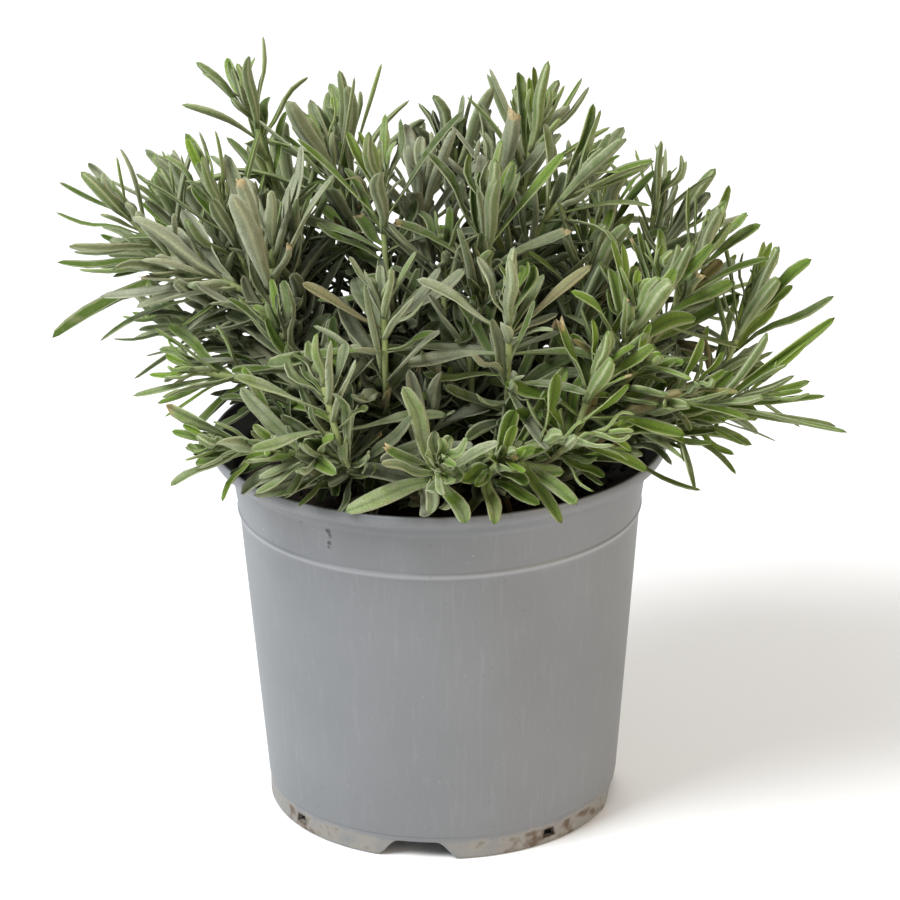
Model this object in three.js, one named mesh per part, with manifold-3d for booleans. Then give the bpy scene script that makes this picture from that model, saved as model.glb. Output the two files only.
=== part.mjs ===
// Young lavender in a thermoformed nursery pot. Millimetres, +Z up, origin on the pot's axis
// at the level that the pot stands on, front towards -Y.
import * as THREE from "three";
import Module from "manifold-3d";
import { mergeVertices } from "three/addons/utils/BufferGeometryUtils.js";

const wasm = await Module();
wasm.setup();

// Pot
const potHeight = 109;
const rimRadius = 64.6; // outer edge of the flared lip
const lipHeight = 3.6;
const lipFlare = 5.8; // how far the lip stands out from the collar
const collarDrop = 1.8; // how much narrower the collar is at its foot
const collarHeight = 20.6; // from the rim down to the step
const stepIn = 0.5; // body set in under the collar
const bodyTaper = 6.1; // how much narrower the body is at its foot
const footHeight = 6.5; // of the raised floor's underside
const footInset = 0.3;
const wall = 1.1;
const standWidth = 1.8; // turned-in edge that touches the ground
const floorThickness = 1.1;
const potSides = 40;

const notchCount = 4;
const notchTurn = -98.5; // compass angle of the front notch, degrees
const notchBottomWidth = 24;
const notchTopWidth = 11;
const notchUnderFloor = 1.2; // from the notches up to the floor
const drainWidth = 4.4;
const drainHeight = 2.6;
const drainUnderFloor = 4.5; // from the bottom of the small drain holes up to the floor

// Potting mix
const fitGap = 0.3; // between pieces that touch
const mixDepthBelowRim = 12.5;
const mixCrown = 2.5; // rise at the middle
const mixSides = 24;

// Shoots
const stemRootWidth = 2.3;
const stemWidth = 1.4;
const leafThickness = 0.9;
const leafBaseHeight = 1.5; // stretch of stem that a leaf grows from
const leafStations = [0.34, 0.74]; // share of the leaf's length at each section
const leafWidths = [0.68, 1]; // share of the leaf's width there
const leafTwist = 62; // most that a leaf turns its upper face to the light, degrees
const twistAt = [0.35, 1]; // share of that turn at each section
const leafCurves = [-22, 16]; // how far the lowest and the topmost leaves curve back to their stem, degrees
const leastOpen = 24; // least angle of a leaf's foot from its stem, degrees
const clearance = 0.35; // kept around each leaf and stem
const rootSpacing = 1.9; // of the places tried for a root, as they spiral out from a plug
const rootTries = 120;

// Rooted plugs in the mix, as shares of the radius of its top.
const clumps = [
  [-0.35, -0.28],
  [0.28, -0.35],
  [0.44, 0.14],
  [-0.07, 0.07],
  [-0.42, 0.25],
  [0.11, 0.44],
];

// One line for each shoot: its name; its lowest leaves, with the height above the rim; its lean, as a
// compass angle from +X towards +Y and the rise above level; its length with leaves and its number of
// pairs; its longest leaf's length and width; the angle of its lowest and its topmost leaves from the
// stem; the turn of the first pair.
const shoots = [
  // crown, left to right
  ["crown_far_left", [-49, 25, 79], [165, 74], [9, 4], [27, 4], [48, 14], 20],
  ["crown_left", [-53, -5, 52], [190, 70], [18, 5], [38, 4.6], [56, 16], 10],
  ["crown_left_silver", [-45, -18, 48], [80, 80], [10, 4], [41, 5.4], [44, 16], 60],
  ["crown_mid_left", [-26, 18, 63], [150, 66], [10, 4], [36, 5], [50, 16], 0],
  ["crown_middle", [-14, -15, 59], [105, 76], [15, 5], [37, 4.6], [78, 18], 0],
  ["crown_middle_silver", [-4, 12, 56], [70, 76], [8, 3], [30, 5.8], [38, 14], 30],
  ["crown_back_dark", [5, 36, 62], [80, 76], [8, 4], [28, 5.6], [40, 10], 50],
  ["crown_mid_right", [13, -25, 55], [72, 74], [14, 5], [34, 4.6], [58, 16], 0],
  ["crown_mid_right_silver", [17, 14, 60], [90, 82], [8, 3], [30, 5.4], [34, 12], 20],
  ["crown_right", [25, 24, 65], [55, 74], [12, 5], [33, 4.8], [46, 10], 10],
  ["crown_right_arched", [31, -4, 65], [15, 48], [10, 4], [33, 4.6], [44, 14], 0],
  // left side
  ["left_reaching", [-65, -5, 43], [178, 50], [29, 6], [38, 4.8], [72, 20], 0],
  ["left_silver_fan", [-55, -15, 49], [178, 26], [8, 3], [36, 5.2], [26, 14], 40],
  ["left_low", [-51, -30, 27], [183, 14], [12, 4], [27, 4], [56, 14], 0],
  ["left_lip", [-47, -50, 15], [192, 8], [9, 3], [26, 4.6], [44, 14], 0],
  ["left_upper", [-67, 10, 51], [170, 62], [10, 4], [30, 4.6], [46, 12], 20],
  ["left_trailing", [-66, 28, 43], [179, 2], [5, 2], [52, 6], [20, 12], 20],
  // front
  ["front_left_bud", [-14, -47, 41], [95, 78], [9, 4], [35, 4.8], [92, 36], 10],
  ["front_right_bud", [19, -50, 41], [85, 76], [10, 5], [31, 4.6], [96, 20], 0],
  ["front_left", [-27, -60, 23], [125, 64], [10, 5], [31, 4.8], [88, 30], 20],
  ["front_left_low", [-32, -55, 13], [212, 28], [8, 3], [26, 5], [62, 20], 10],
  ["front_lip", [-1, -64, 11], [-78, 42], [7, 4], [26, 5], [84, 30], 20],
  ["front_middle_silver", [-3, -48, 18], [60, 70], [6, 3], [24, 5.4], [50, 20], 0],
  ["front_right", [38, -58, 26], [50, 60], [10, 4], [28, 5], [80, 16], 0],
  ["front_right_low", [27, -62, 20], [0, 12], [12, 4], [27, 4.6], [62, 18], 0],
  ["front_right_lip", [14, -60, 12], [-58, 38], [6, 3], [20, 4.8], [58, 20], 10],
  ["front_middle", [9, -42, 31], [95, 72], [9, 4], [27, 4.6], [66, 18], 30],
  // right side
  ["right_spoon", [50, -40, 39], [40, 70], [9, 4], [28, 5.2], [58, 20], 30],
  ["right_spoon_back", [59, -20, 38], [50, 72], [9, 4], [29, 5], [50, 16], 10],
  ["right_upper", [68, -4, 41], [35, 62], [14, 5], [29, 4.2], [46, 12], 0],
  ["right_wispy", [61, 25, 51], [60, 76], [8, 3], [28, 3], [30, 10], 0],
  ["right_outer", [82, 0, 23], [15, 70], [14, 5], [33, 4.6], [38, 10], 0],
  ["right_slender", [70, -42, 21], [-14, 22], [10, 3], [45, 3.4], [34, 18], 0],
  ["right_hooked", [60, -46, 25], [-20, 30], [8, 3], [22, 4], [60, 20], 45],
  ["right_lip", [62, -28, 13], [-28, 12], [7, 3], [25, 4.4], [52, 18], 10],
  // inside
  ["inner_left", [-38, -5, 45], [120, 80], [12, 4], [30, 4.6], [60, 16], 15],
  ["inner_front_left", [-37, -36, 31], [160, 62], [10, 4], [28, 4.6], [60, 16], 40],
  ["inner_middle", [2, -22, 45], [90, 82], [12, 4], [30, 4.6], [62, 16], 40],
  ["inner_right", [40, -12, 41], [60, 74], [12, 4], [30, 4.6], [60, 16], 30],
  ["inner_front_right", [46, -42, 25], [-30, 50], [10, 3], [26, 4.6], [62, 20], 10],
  ["inner_back_left", [-47, 12, 47], [150, 70], [10, 4], [30, 4.6], [58, 16], 30],
  ["inner_back_right", [44, 14, 45], [50, 70], [10, 4], [30, 4.6], [58, 16], 10],
  ["inner_low_left", [-22, -36, 21], [230, 56], [8, 3], [27, 4.8], [64, 20], 0],
  ["inner_low_middle", [5, -36, 17], [-85, 60], [8, 3], [27, 4.8], [66, 20], 45],
  ["inner_low_right", [27, -31, 19], [-40, 56], [8, 3], [27, 4.8], [64, 20], 20],
  // back
  ["back_upper_left", [-24, 42, 59], [115, 70], [12, 5], [33, 4.6], [54, 12], 10],
  ["back_upper_right", [24, 46, 57], [68, 68], [12, 5], [33, 4.6], [54, 12], 30],
  ["back_far_left", [-62, 36, 45], [155, 50], [14, 5], [32, 4.4], [56, 14], 0],
  ["back_left", [-40, 56, 41], [125, 48], [13, 5], [31, 4.6], [60, 14], 20],
  ["back_middle", [-4, 56, 43], [92, 56], [13, 5], [31, 4.6], [62, 14], 0],
  ["back_right", [36, 56, 41], [58, 48], [13, 5], [31, 4.6], [60, 14], 20],
  ["back_far_right", [60, 38, 35], [30, 46], [13, 5], [31, 4.4], [58, 14], 0],
  ["back_low_left", [-66, 26, 21], [165, 18], [9, 4], [28, 4.4], [58, 16], 10],
  ["back_lip_left", [-44, 52, 17], [132, 14], [9, 4], [27, 4.6], [58, 16], 30],
  ["back_lip_middle", [-8, 61, 18], [98, 18], [9, 4], [25, 4.8], [60, 16], 0],
  ["back_lip_right", [30, 58, 19], [62, 16], [9, 4], [26, 4.6], [60, 16], 20],
  ["back_low_right", [66, 30, 23], [22, 24], [9, 4], [27, 4.4], [56, 16], 0],
].map(([name, [x, y, rise], lean, [leafy, pairs], leaf, open, roll]) => ({
  name,
  at: [x, y, potHeight + rise],
  lean,
  leafy,
  pairs,
  leaf,
  open,
  roll,
}));

const plastic = new THREE.MeshStandardMaterial({ color: 0x8c8e90, roughness: 0.55, metalness: 0 });
const mix = new THREE.MeshStandardMaterial({ color: 0x1f1a16, roughness: 1, metalness: 0 });
const foliage = new THREE.MeshStandardMaterial({ color: 0x7d8a6b, roughness: 0.8, metalness: 0 });

// Solids

function toSolid(geometry) {
  const bare = geometry.clone();
  bare.deleteAttribute("normal");
  bare.deleteAttribute("uv");
  const merged = mergeVertices(bare, 1e-4);
  return new wasm.Manifold(
    new wasm.Mesh({
      numProp: 3,
      vertProperties: new Float32Array(merged.attributes.position.array),
      triVerts: new Uint32Array(merged.index.array),
    }),
  );
}

function toGeometry(solid) {
  const mesh = solid.getMesh();
  const geometry = new THREE.BufferGeometry();
  geometry.setAttribute("position", new THREE.BufferAttribute(mesh.vertProperties, 3));
  geometry.setIndex(new THREE.BufferAttribute(mesh.triVerts, 1));
  geometry.computeVertexNormals();
  return geometry;
}

function meshOf(name, geometry, material) {
  const mesh = new THREE.Mesh(geometry, material);
  mesh.name = name;
  return mesh;
}

// A closed lathe turned about Z from [radius, height] points.
function turned(profile, sides) {
  const points = profile.map(([r, z]) => new THREE.Vector2(r, z));
  return new THREE.LatheGeometry(points, sides).rotateX(Math.PI / 2);
}

// Pot

const collarRadius = rimRadius - lipFlare;
const collarFootRadius = collarRadius - collarDrop;
const stepLevel = potHeight - collarHeight;
const bodyTopRadius = collarFootRadius - stepIn;
const bodyFootRadius = bodyTopRadius - bodyTaper;
const footRadius = bodyFootRadius - footInset;
const floorTop = footHeight + floorThickness;
const underLip = potHeight - lipHeight;
const flareStart = underLip - 3.4;

// Outside of the pot, from the ground up to the rim.
const potOutside = [
  [footRadius - 0.5, 0],
  [footRadius, 0.5],
  [footRadius, footHeight - 1],
  [bodyFootRadius, footHeight],
  [bodyTopRadius, stepLevel - stepIn],
  [collarFootRadius, stepLevel],
  [collarRadius, flareStart],
  [rimRadius - 0.9, underLip],
  [rimRadius, potHeight - lipHeight / 2],
  [rimRadius - 0.3, potHeight],
];

// The inside follows the outside one wall in, down to the raised floor.
const potInside = [
  [rimRadius - 0.3 - wall, potHeight],
  [rimRadius - wall - 0.6, potHeight - lipHeight / 2],
  [collarRadius - wall, flareStart],
  [collarFootRadius - wall, stepLevel],
  [bodyTopRadius - wall, stepLevel - stepIn],
  [bodyFootRadius - wall, floorTop + 1],
  [bodyFootRadius - wall - 1, floorTop],
];

function pot() {
  const underside = [
    [0, footHeight],
    [footRadius - standWidth - 0.1, footHeight],
    [footRadius - standWidth, footHeight - 1.2],
    [footRadius - standWidth, 0],
  ];
  const profile = [...underside, ...potOutside, ...potInside, [0, floorTop]];
  let solid = toSolid(turned(profile, potSides));

  const reach = 12; // of a cutter through the foot wall
  const notchHeight = footHeight - notchUnderFloor;
  const drainLevel = footHeight - drainUnderFloor;
  const notchShape = new THREE.Shape();
  notchShape.moveTo(-notchBottomWidth / 2, -1);
  notchShape.lineTo(notchBottomWidth / 2, -1);
  notchShape.lineTo(notchTopWidth / 2 + 1.5, notchHeight - 0.7);
  notchShape.lineTo(notchTopWidth / 2, notchHeight);
  notchShape.lineTo(-notchTopWidth / 2, notchHeight);
  notchShape.lineTo(-notchTopWidth / 2 - 1.5, notchHeight - 0.7);
  notchShape.closePath();
  const drainShape = new THREE.Shape();
  drainShape.moveTo(-drainWidth / 2, drainLevel);
  drainShape.lineTo(drainWidth / 2, drainLevel);
  drainShape.lineTo(drainWidth / 2 - 0.8, drainLevel + drainHeight);
  drainShape.lineTo(-drainWidth / 2 + 0.8, drainLevel + drainHeight);
  drainShape.closePath();

  for (let i = 0; i < notchCount; i++) {
    const turn = notchTurn + (i * 360) / notchCount;
    for (const [shape, angle] of [
      [notchShape, turn],
      [drainShape, turn + 180 / notchCount],
    ]) {
      const cutter = new THREE.ExtrudeGeometry(shape, { depth: reach, bevelEnabled: false });
      cutter.rotateX(Math.PI / 2);
      cutter.translate(0, bodyFootRadius + reach / 3, 0);
      cutter.rotateZ(THREE.MathUtils.degToRad(angle - 90));
      solid = solid.subtract(toSolid(cutter));
    }
  }
  return solid;
}

// Potting mix

const mixTop = potHeight - mixDepthBelowRim;

// Radius of the pot's inside at a height, between the points of its inside outline.
function insideRadius(z) {
  const upper = potInside.findIndex(([, level]) => level <= z);
  const [r0, z0] = potInside[upper];
  const [r1, z1] = potInside[upper - 1];
  return r0 + ((r1 - r0) * (z - z0)) / (z1 - z0);
}

function mixHeightAt(radius) {
  return mixTop + mixCrown * (1 - (radius / insideRadius(mixTop)) ** 2);
}

function pottingMix() {
  const edge = insideRadius(mixTop) - fitGap;
  const side = potInside
    .filter(([, z]) => z < mixTop)
    .map(([r, z]) => [r - fitGap, z + fitGap])
    .reverse();
  const top = [1, 0.66, 0.33].map((share) => [edge * share, mixHeightAt(edge * share)]);
  return toSolid(turned([[0, floorTop + fitGap], ...side, ...top, [0, mixHeightAt(0)]], mixSides));
}

// Shoots

const vector = (x, y, z) => new THREE.Vector3(x, y, z);
const along = (start, direction, length) => start.clone().addScaledVector(direction, length);
const radians = THREE.MathUtils.degToRad;

// The same random numbers on each run (a 32-bit mixing generator).
function randomFrom(seed) {
  let state = seed;
  return () => {
    state = (state + 0x6d2b79f5) | 0;
    let t = Math.imul(state ^ (state >>> 15), 1 | state);
    t = (t + Math.imul(t ^ (t >>> 7), 61 | t)) ^ t;
    return ((t ^ (t >>> 14)) >>> 0) / 4294967296;
  };
}

function directionOf([compass, rise]) {
  const [a, e] = [radians(compass), radians(rise)];
  return vector(Math.cos(a) * Math.cos(e), Math.sin(a) * Math.cos(e), Math.sin(e));
}

// The four corners' numbers of a ring, counted from its first.
const loopFrom = (first) => [0, 1, 2, 3].map((j) => first + j);

// Faces between two rings. The third side takes the other diagonal, so that on a thin twisted blade
// the diagonals of the upper and the lower side lie over each other.
function addWall(faces, low, high, open = []) {
  for (let j = 0; j < 4; j++) {
    if (open.includes(j)) continue;
    const k = (j + 1) % 4;
    if (j === 2) faces.push(low[j], low[k], high[j], low[k], high[k], high[j]);
    else faces.push(low[j], low[k], high[k], low[j], high[k], high[j]);
  }
}

function addFlatEnd(faces, [a, b, c, d]) {
  faces.push(a, b, c, a, c, d);
}

function addPoint(faces, loop, tip) {
  for (let j = 0; j < 4; j++) faces.push(loop[j], loop[(j + 1) % 4], tip);
}

// A closed shape through rings of four corners, with a flat end or a point at the far one.
function loft(rings, point) {
  const places = rings.flat();
  const loops = rings.map((ring, i) => loopFrom(4 * i));
  const faces = [];
  addFlatEnd(faces, loops[0].toReversed());
  for (let i = 0; i + 1 < rings.length; i++) addWall(faces, loops[i], loops[i + 1]);
  if (point) addPoint(faces, loops.at(-1), places.push(point) - 1);
  else addFlatEnd(faces, loops.at(-1));
  return { places, faces };
}

function solidOf({ places, faces }) {
  return new wasm.Manifold(
    new wasm.Mesh({
      numProp: 3,
      vertProperties: new Float32Array(places.flatMap((p) => p.toArray())),
      triVerts: new Uint32Array(faces),
    }),
  );
}

// A square stem's frames: place, direction and two side directions, carried along without twist.
function framesAlong(points, directions, roll) {
  const start = vector(1, 0, 0).cross(directions.at(-1)).normalize();
  let across = start.applyAxisAngle(directions.at(-1), radians(roll));
  const frames = [];
  for (let i = points.length - 1; i >= 0; i--) {
    across = across.clone().addScaledVector(directions[i], -across.dot(directions[i])).normalize();
    frames.unshift({ place: points[i], direction: directions[i], across });
  }
  return frames;
}

// Corners of a square section, counter-clockwise seen from the stem's tip.
function ringAt({ place, direction, across }, width) {
  const second = direction.clone().cross(across);
  return [
    [1, 1],
    [-1, 1],
    [-1, -1],
    [1, -1],
  ].map(([a, b]) => along(along(place, across, (a * width) / 2), second, (b * width) / 2));
}

// Stem of a shoot from a root on the mix: a curve up to the lowest leaves, then straight on. Bow is
// how far up the curve sets off, as a share of its rise.
function stemOf(shoot, root, bow) {
  const aim = directionOf(shoot.lean);
  const at = vector(...shoot.at);
  const span = at.distanceTo(root);
  const launch = vector((at.x - root.x) * 0.12, (at.y - root.y) * 0.12, (at.z - root.z) * bow);
  const curve = new THREE.CubicBezierCurve3(
    root,
    root.clone().add(launch),
    along(at, aim, -0.34 * span),
    at,
  );
  const points = [];
  const directions = [];
  for (const share of [0, 0.22, 0.44, 0.66, 0.84]) {
    points.push(curve.getPoint(share));
    directions.push(curve.getTangent(share));
  }
  const nodes = [];
  for (let i = 0; i < shoot.pairs; i++) {
    const share = i / (shoot.pairs - 1);
    const place = along(at, aim, shoot.leafy * share ** 0.85);
    nodes.push(points.length);
    points.push(along(place, aim, -leafBaseHeight / 2), along(place, aim, leafBaseHeight / 2));
    directions.push(aim, aim);
  }
  points.push(along(points.at(-1), aim, 2));
  directions.push(aim);
  const frames = framesAlong(points, directions, shoot.roll);
  const widths = frames.map((_, i) => {
    const share = Math.min(1, i / nodes[0]);
    return stemRootWidth + (stemWidth - stemRootWidth) * share;
  });
  const rings = frames.map((frame, i) => ringAt(frame, widths[i]));
  return { frames, widths, rings, nodes, aim, solid: solidOf(loft(rings)) };
}

// Section rings and tip of a leaf. It leaves the stem at an angle that closes by bend along an arc,
// and sags with the square of the distance. Its width runs round the stem at its foot, and then it
// twists by the sine of the angle between its upper face and the light, which comes from above and
// from outside the plant.
function leafSections(base, { aim, out, open, bend, length, width, sag }, extra = 0) {
  const side = aim.clone().cross(out);
  const spot = (t) => {
    const forward = (Math.sin(open) - Math.sin(open - bend * t)) / bend;
    const outward = (Math.cos(open - bend * t) - Math.cos(open)) / bend;
    const flat = along(along(base, aim, length * forward), out, length * outward);
    return flat.add(vector(0, 0, -sag * t * t));
  };
  const light = vector(base.x, base.y, 75).normalize();
  const ring = (t, share, twist) => {
    const tangent = spot(t + 0.01).sub(spot(t - 0.01)).normalize();
    const up = tangent.clone().cross(side).normalize();
    const lit = along(light, tangent, -light.dot(tangent)).normalize();
    const turn = radians(leafTwist) * twist * up.clone().cross(lit).dot(tangent);
    const across = side.clone().applyAxisAngle(tangent, turn);
    up.applyAxisAngle(tangent, turn);
    const half = (width * share + extra) / 2;
    const thick = (leafThickness + extra) / 2;
    return [
      [-1, -1],
      [1, -1],
      [1, 1],
      [-1, 1],
    ].map(([a, b]) => along(along(spot(t), across, a * half), up, b * thick));
  };
  const rings = leafStations.map((t, i) => ring(t, leafWidths[i], twistAt[i]));
  const foot = extra ? [ring(0.1, 0.4, 0.15)] : [];
  return { rings: [...foot, ...rings], tip: spot(1 + extra / length) };
}

// Ways to move a leaf that meets another: turn and opening in degrees, and share of its length.
const shifts = [1, 0.85, 0.7].flatMap((share) =>
  [
    [0, 0],
    [9, 0],
    [-9, 0],
    [0, -9],
    [0, 9],
    [16, 6],
    [-16, 6],
    [16, -8],
    [-16, -8],
    [24, 0],
    [-24, 0],
    [0, 18],
    [28, 12],
    [-28, 12],
  ].map(([turn, opening]) => ({ turn, opening, share })),
);

// Solids placed so far, each with its box and the number of its shoot, or -1.
const placed = [];

function place(solid, owner = -1) {
  placed.push({ solid, owner, box: solid.boundingBox() });
}

function touches(solid, but) {
  const box = solid.boundingBox();
  return placed.some((other) => {
    if (other.owner === but) return false;
    for (let k = 0; k < 3; k++) {
      if (box.min[k] > other.box.max[k] || other.box.min[k] > box.max[k]) return false;
    }
    const common = solid.intersect(other.solid);
    const meets = !common.isEmpty();
    common.delete();
    return meets;
  });
}

// The first root near the closest plug, and the first bow of the stem, that run clear of the others.
function rootedStem(shoot) {
  const [x, y] = shoot.at;
  const plugs = clumps.map((plug) => plug.map((share) => share * insideRadius(mixTop)));
  const away = ([cx, cy]) => Math.hypot(cx - 0.45 * x, cy - 0.45 * y);
  const [cx, cy] = plugs.reduce((best, plug) => (away(plug) < away(best) ? plug : best));
  for (const bow of [0.42, 0.28, 0.56]) {
    for (let i = 0; i < rootTries; i++) {
      const turn = i * 2.4; // golden angle, radians
      const radius = rootSpacing * Math.sqrt(i);
      const rx = cx + 0.06 * x + radius * Math.cos(turn);
      const ry = cy + 0.06 * y + radius * Math.sin(turn);
      const root = vector(rx, ry, mixHeightAt(Math.hypot(rx, ry)) + fitGap + 0.6);
      const stem = stemOf(shoot, root, bow);
      const roomy = stem.frames.map((frame, k) => ringAt(frame, stem.widths[k] + 2 * clearance));
      const test = solidOf(loft(roomy));
      const meets = touches(test, -2);
      test.delete();
      if (!meets) return stem;
    }
  }
  throw new Error(`${shoot.name} finds no clear root`);
}

// How long the leaves at a share of the way up a shoot are: longest a third of the way.
const lengthShare = (share) => 0.88 + 0.42 * share - 0.78 * share * share;

// One shoot as one body: at each node two opposite leaves, at right angles to the pair below.
function grow(shoot, stem, number) {
  const random = randomFrom(7919 * (number + 1));
  const spread = (amount) => (random() * 2 - 1) * amount;
  const places = stem.rings.flat();
  const faces = [];
  addFlatEnd(faces, loopFrom(0).toReversed());
  for (let i = 0; i + 1 < stem.rings.length; i++) {
    const node = stem.nodes.indexOf(i);
    const grown = [];
    if (node >= 0) {
      const share = node / (shoot.pairs - 1);
      for (const face of [node % 2, (node % 2) + 2]) {
        const bend = leafCurves[0] + (leafCurves[1] - leafCurves[0]) * share + spread(11);
        const leaf = {
          open: shoot.open[0] + (shoot.open[1] - shoot.open[0]) * share ** 0.8 + bend / 2 + spread(6),
          bend: radians(bend),
          length: shoot.leaf[0] * lengthShare(share) * (1 + spread(0.13)),
          width: shoot.leaf[1] * (1 - 0.3 * share) * (1 + spread(0.12)),
          turn: spread(9),
          sag: (1 - share) * (1.2 + spread(1.2)),
        };
        if (addLeaf(places, faces, stem, i, face, leaf, number)) grown.push(face);
      }
    }
    addWall(faces, loopFrom(4 * i), loopFrom(4 * i + 4), grown);
  }
  addFlatEnd(faces, loopFrom(4 * (stem.rings.length - 1)));
  return solidOf({ places, faces });
}

// Adds a leaf on one face of the stem between two rings, if it finds a clear place. The roomy leaf
// starts a little way out, so that it may meet anything but its own stem, and the exact leaf is then
// tested on the other shoots.
function addLeaf(places, faces, stem, ring, face, leaf, number) {
  const next = (face + 1) % 4;
  const corners = [4 * ring + face, 4 * ring + next, 4 * ring + 4 + next, 4 * ring + 4 + face];
  const base = corners.reduce((sum, c) => sum.addScaledVector(places[c], 0.25), vector(0, 0, 0));
  const centre = stem.frames[ring].place.clone().add(stem.frames[ring + 1].place).multiplyScalar(0.5);
  const normal = base.clone().sub(centre).normalize();
  for (const shift of shifts) {
    const tried = {
      aim: stem.aim,
      out: normal.clone().applyAxisAngle(stem.aim, radians(leaf.turn + shift.turn)),
      open: radians(Math.max(leastOpen, leaf.open + shift.opening)),
      bend: leaf.bend,
      length: leaf.length * shift.share,
      width: leaf.width,
      sag: leaf.sag,
    };
    const roomy = leafSections(base, tried, 2 * clearance);
    const test = solidOf(loft(roomy.rings, roomy.tip));
    const meets = touches(test, -2);
    test.delete();
    if (meets) continue;
    const { rings, tip } = leafSections(base, tried);
    const exact = solidOf(loft([corners.map((c) => places[c]), ...rings], tip));
    if (touches(exact, number)) {
      exact.delete();
      continue;
    }
    place(exact, number);
    const first = places.push(...rings.flat()) - 8;
    addWall(faces, corners, loopFrom(first));
    addWall(faces, loopFrom(first), loopFrom(first + 4));
    addPoint(faces, loopFrom(first + 4), places.push(tip) - 1);
    return true;
  }
  return false;
}

// Assembly

const pottedLavender = new THREE.Group();
const potSolid = pot();
const mixSolid = pottingMix();
place(potSolid);
place(mixSolid);
pottedLavender.add(meshOf("pot", toGeometry(potSolid), plastic));
pottedLavender.add(meshOf("potting_mix", toGeometry(mixSolid), mix));

const stems = shoots.map((shoot, i) => {
  const stem = rootedStem(shoot);
  place(stem.solid, i);
  return stem;
});
shoots.forEach((shoot, i) => {
  const solid = grow(shoot, stems[i], i);
  pottedLavender.add(meshOf(`shoot_${shoot.name}`, toGeometry(solid), foliage));
});

export default pottedLavender;
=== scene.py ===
# Young potted lavender: felted narrow leaves on square stems, dark potting mix, grey moulded pot.
# Metres, +Z up, origin under the pot's middle, front towards -Y.
import math

import bpy
import numpy as np
from mathutils import Matrix, Vector


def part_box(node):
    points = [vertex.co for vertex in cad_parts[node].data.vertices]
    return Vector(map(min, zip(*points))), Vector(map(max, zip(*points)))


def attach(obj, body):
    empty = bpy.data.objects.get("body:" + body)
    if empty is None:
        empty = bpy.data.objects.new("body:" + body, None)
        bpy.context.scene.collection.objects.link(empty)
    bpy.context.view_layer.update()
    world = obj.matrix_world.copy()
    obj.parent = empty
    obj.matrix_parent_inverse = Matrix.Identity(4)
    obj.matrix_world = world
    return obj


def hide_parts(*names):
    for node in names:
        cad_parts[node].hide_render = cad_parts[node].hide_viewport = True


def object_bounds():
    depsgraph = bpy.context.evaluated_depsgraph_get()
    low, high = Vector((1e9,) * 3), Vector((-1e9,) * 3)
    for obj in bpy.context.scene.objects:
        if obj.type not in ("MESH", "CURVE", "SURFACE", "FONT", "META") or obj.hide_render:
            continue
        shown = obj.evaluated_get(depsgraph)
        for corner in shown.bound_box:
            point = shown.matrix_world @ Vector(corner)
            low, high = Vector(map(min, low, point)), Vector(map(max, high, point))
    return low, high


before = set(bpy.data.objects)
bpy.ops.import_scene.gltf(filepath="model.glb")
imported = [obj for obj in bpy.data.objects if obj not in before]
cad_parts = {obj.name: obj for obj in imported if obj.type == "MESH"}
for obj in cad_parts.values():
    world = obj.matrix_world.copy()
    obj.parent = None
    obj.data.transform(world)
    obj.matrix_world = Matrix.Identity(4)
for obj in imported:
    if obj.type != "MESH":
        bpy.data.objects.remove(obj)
cadBox = [list(corner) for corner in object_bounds()]
mm = 0.001
print("frame:", len(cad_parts), "nodes")


# sRGB hex to the linear colour that shaders use
def toLinear(hexColour):
    channels = np.array([int(hexColour[i:i + 2], 16) for i in (1, 3, 5)]) / 255
    linear = np.where(channels <= 0.04045, channels / 12.92, ((channels + 0.055) / 1.055) ** 2.4)
    return (*linear.tolist(), 1.0)


# adds one node, with its settings by name and its inputs as values or as sockets to link
def addNode(tree, kind, inputs=None, **settings):
    node = tree.nodes.new(kind)
    for name, value in settings.items():
        setattr(node, name, value)
    for key, value in (inputs or {}).items():
        if isinstance(value, bpy.types.NodeSocket):
            tree.links.new(value, node.inputs[key])
        else:
            node.inputs[key].default_value = value
    return node


def newMaterial(name):
    material = bpy.data.materials.new(name)
    material.use_nodes = True
    return material, material.node_tree, material.node_tree.nodes["Principled BSDF"]


# one mesh object; faces is a list of lists, shades the values of each named float attribute
def makePiece(name, points, faces, materials, shades=None, materialIndex=None, smooth=True):
    mesh = bpy.data.meshes.new(name)
    mesh.from_pydata(np.asarray(points, float).tolist(), [], faces)
    for shade, values in (shades or {}).items():
        attribute = mesh.attributes.new(shade, "FLOAT", "POINT")
        attribute.data.foreach_set("value", np.asarray(values, np.float32).ravel())
    for material in materials:
        mesh.materials.append(material)
    if materialIndex is not None:
        mesh.polygons.foreach_set("material_index", np.asarray(materialIndex, np.int32))
    mesh.polygons.foreach_set("use_smooth", np.full(len(mesh.polygons), smooth))
    mesh.validate()
    mesh.update()
    piece = bpy.data.objects.new(name, mesh)
    bpy.context.scene.collection.objects.link(piece)
    return piece


def unit(vectors):
    return vectors / np.maximum(np.linalg.norm(vectors, axis=-1, keepdims=True), 1e-12)


# smooth step from 0 at low to 1 at high
def easeBetween(low, high, value):
    share = np.clip((value - low) / (high - low), 0, 1)
    return share * share * (3 - 2 * share)


# cubic Hermite curve through points at distances s: each slope is the difference of its neighbours
def alongPath(points, s, at):
    slope = np.gradient(points, s, axis=0)
    i = np.clip(np.searchsorted(s, at, "right") - 1, 0, len(s) - 2)
    span = (s[i + 1] - s[i])[:, None]
    u = (at - s[i])[:, None] / span
    start = (1 + 2 * u) * (1 - u) ** 2 * points[i] + u * (1 - u) ** 2 * span * slope[i]
    end = u * u * (3 - 2 * u) * points[i + 1] + u * u * (u - 1) * span * slope[i + 1]
    return start + end


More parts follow.
